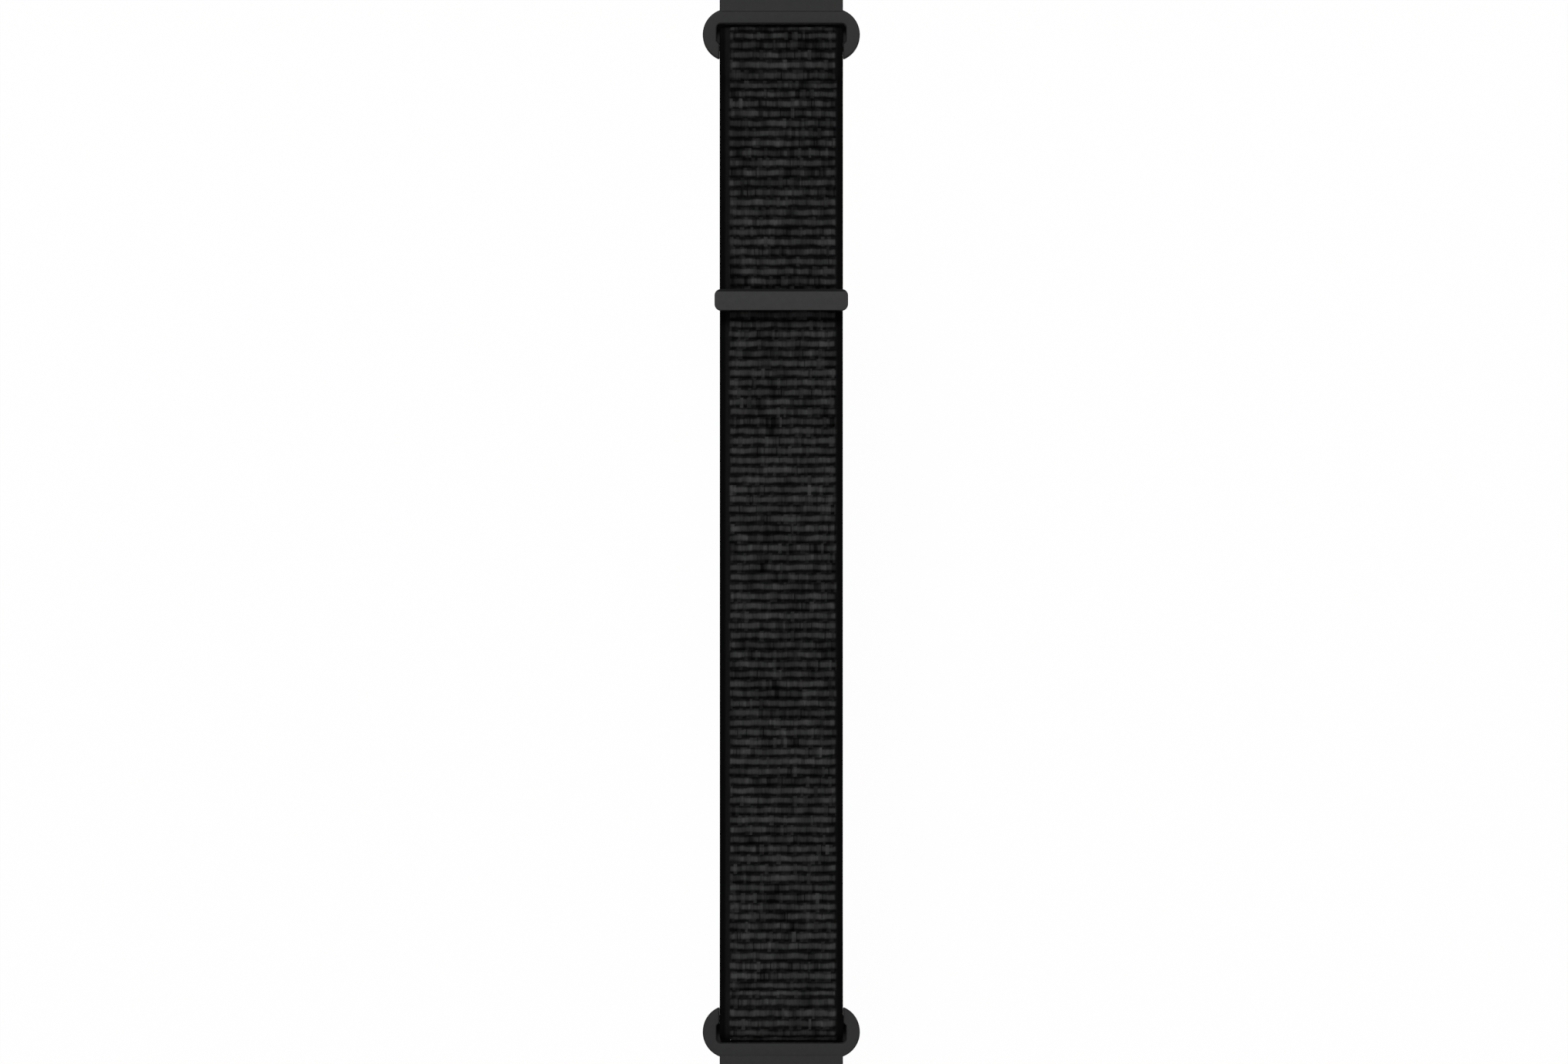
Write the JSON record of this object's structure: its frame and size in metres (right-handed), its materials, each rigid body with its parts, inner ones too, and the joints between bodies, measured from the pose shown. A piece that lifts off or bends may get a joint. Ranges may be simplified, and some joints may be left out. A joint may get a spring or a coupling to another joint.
{
  "type": "hook and loop watch strap",
  "caption": "Ribbed nylon watch strap whose free end runs through a ring, folds back and holds by hook and loop, with a spring-latched quick-release lug adapter at each end.",
  "frame": {"origin": "under the middle of the strap, on the surface that it lies on, halfway between the two adapters", "axes": "+Z out of the strap's outer face, +Y along the strap towards the adapter that the tail passes through, X across the strap; the strap lies flat"},
  "size_m": [0.0278, 0.2028, 0.0053],
  "materials": {
    "cloth": "ribbed black nylon webbing with a looped face and smooth borders",
    "hooks": "black hook tape",
    "thread": "black sewing thread",
    "moulding": "charcoal moulding, fine satin grain",
    "plate": "dark coated steel sheet",
    "steel": "plain stainless steel"
  },
  "bodies": {
    "middle": {"strap_length_06": "cloth"},
    "length_07": {"strap_length_07": "cloth"},
    "length_08": {"strap_length_08": "cloth"},
    "length_09": {"strap_length_09": "cloth"},
    "length_10": {"strap_length_10": "cloth"},
    "length_11": {"strap_length_11": "cloth"},
    "tail_fold": {"strap_tail_fold": "cloth"},
    "length_05": {"strap_length_05": "cloth"},
    "length_04": {"strap_length_04": "cloth"},
    "length_03": {"strap_length_03": "cloth"},
    "length_02": {"strap_length_02": "cloth"},
    "length_01": {"strap_length_01": "cloth"},
    "sewn_end": {"strap_sewn_end": "cloth", "flap_stitching": "thread"},
    "tail_0": {"tail_root": "cloth"},
    "tail_1": {"tail_length_1": "cloth", "hook_pad_1": "hooks"},
    "tail_2": {"tail_length_2": "cloth", "hook_pad_2": "hooks"},
    "tail_3": {"tail_tip": "cloth", "hook_pad_3": "hooks", "tail_stop": "moulding"},
    "adapter_a": {"adapter_a_body": "moulding", "adapter_a_strap_bar": "steel", "adapter_a_spring_left": "steel", "adapter_a_spring_right": "steel", "adapter_a_cover": "plate", "adapter_a_screw_left": "steel", "adapter_a_screw_right": "steel"},
    "latch_a": {"adapter_a_latch": "moulding"},
    "adapter_b": {"adapter_b_body": "moulding", "adapter_b_strap_bar": "steel", "adapter_b_spring_left": "steel", "adapter_b_spring_right": "steel", "adapter_b_cover": "plate", "adapter_b_screw_left": "steel", "adapter_b_screw_right": "steel"},
    "latch_b": {"adapter_b_latch": "moulding"}
  },
  "joints": [
    {"name": "strap_curl", "type": "hinge", "parent": "middle", "child": "length_07", "pos_m": [0, 0.00688, 0], "axis": [-1, 0, 0], "range_deg": [0, 20]},
    {"name": "flex_08", "type": "hinge", "parent": "length_07", "child": "length_08", "pos_m": [0, 0.02064, 0], "axis": [-1, 0, 0], "range_deg": [0, 20]},
    {"name": "flex_09", "type": "hinge", "parent": "length_08", "child": "length_09", "pos_m": [0, 0.0344, 0], "axis": [-1, 0, 0], "range_deg": [0, 20]},
    {"name": "flex_10", "type": "hinge", "parent": "length_09", "child": "length_10", "pos_m": [0, 0.04816, 0], "axis": [-1, 0, 0], "range_deg": [0, 20]},
    {"name": "flex_11", "type": "hinge", "parent": "length_10", "child": "length_11", "pos_m": [0, 0.06192, 0], "axis": [-1, 0, 0], "range_deg": [0, 20]},
    {"name": "flex_12", "type": "hinge", "parent": "length_11", "child": "tail_fold", "pos_m": [0, 0.07568, 0], "axis": [-1, 0, 0], "range_deg": [0, 20]},
    {"name": "flex_06", "type": "hinge", "parent": "middle", "child": "length_05", "pos_m": [0, -0.00688, 0], "axis": [1, 0, 0], "range_deg": [0, 20]},
    {"name": "flex_05", "type": "hinge", "parent": "length_05", "child": "length_04", "pos_m": [0, -0.02064, 0], "axis": [1, 0, 0], "range_deg": [0, 20]},
    {"name": "flex_04", "type": "hinge", "parent": "length_04", "child": "length_03", "pos_m": [0, -0.0344, 0], "axis": [1, 0, 0], "range_deg": [0, 20]},
    {"name": "flex_03", "type": "hinge", "parent": "length_03", "child": "length_02", "pos_m": [0, -0.04816, 0], "axis": [1, 0, 0], "range_deg": [0, 20]},
    {"name": "flex_02", "type": "hinge", "parent": "length_02", "child": "length_01", "pos_m": [0, -0.06192, 0], "axis": [1, 0, 0], "range_deg": [0, 20]},
    {"name": "flex_01", "type": "hinge", "parent": "length_01", "child": "sewn_end", "pos_m": [0, -0.07568, 0.0017], "axis": [1, 0, 0], "range_deg": [0, 20]},
    {"name": "tail_peel", "type": "hinge", "parent": "tail_fold", "child": "tail_0", "pos_m": [0, 0.08255, 0.0053], "axis": [-1, 0, 0], "range_deg": [0, 90]},
    {"name": "tail_flex_1", "type": "hinge", "parent": "tail_0", "child": "tail_1", "pos_m": [0, 0.07568, 0], "axis": [1, 0, 0], "range_deg": [0, 20]},
    {"name": "tail_flex_2", "type": "hinge", "parent": "tail_1", "child": "tail_2", "pos_m": [0, 0.06192, 0], "axis": [1, 0, 0], "range_deg": [0, 20]},
    {"name": "tail_flex_3", "type": "hinge", "parent": "tail_2", "child": "tail_3", "pos_m": [0, 0.04816, 0], "axis": [1, 0, 0], "range_deg": [0, 20]},
    {"name": "adapter_a_pivot", "type": "hinge", "parent": "tail_fold", "child": "adapter_a", "pos_m": [0, 0.08602, 0.00265], "axis": [1, 0, 0], "range_deg": [-60, 60]},
    {"name": "adapter_b_pivot", "type": "hinge", "parent": "sewn_end", "child": "adapter_b", "pos_m": [0, -0.08602, 0.00265], "axis": [-1, 0, 0], "range_deg": [-60, 60]},
    {"name": "latch_a_slide", "type": "slide", "parent": "adapter_a", "child": "latch_a", "axis": [0, -1, 0], "range_m": [0, 0.002], "stiffness_N_per_m": 400, "springref_m": -0.001, "deforming": ["adapter_a_spring_left", "adapter_a_spring_right"]},
    {"name": "latch_b_slide", "type": "slide", "parent": "adapter_b", "child": "latch_b", "axis": [0, 1, 0], "range_m": [0, 0.002], "stiffness_N_per_m": 400, "springref_m": -0.001, "deforming": ["adapter_b_spring_left", "adapter_b_spring_right"]}
  ],
  "couplings": [
    {"joint": "flex_08", "follows": "strap_curl", "ratio": 1},
    {"joint": "flex_09", "follows": "strap_curl", "ratio": 1},
    {"joint": "flex_10", "follows": "strap_curl", "ratio": 1},
    {"joint": "flex_11", "follows": "strap_curl", "ratio": 1},
    {"joint": "flex_12", "follows": "strap_curl", "ratio": 1},
    {"joint": "flex_06", "follows": "strap_curl", "ratio": 1},
    {"joint": "flex_05", "follows": "strap_curl", "ratio": 1},
    {"joint": "flex_04", "follows": "strap_curl", "ratio": 1},
    {"joint": "flex_03", "follows": "strap_curl", "ratio": 1},
    {"joint": "flex_02", "follows": "strap_curl", "ratio": 1},
    {"joint": "flex_01", "follows": "strap_curl", "ratio": 1},
    {"joint": "tail_flex_1", "follows": "strap_curl", "ratio": 1},
    {"joint": "tail_flex_2", "follows": "strap_curl", "ratio": 1},
    {"joint": "tail_flex_3", "follows": "strap_curl", "ratio": 1}
  ]
}
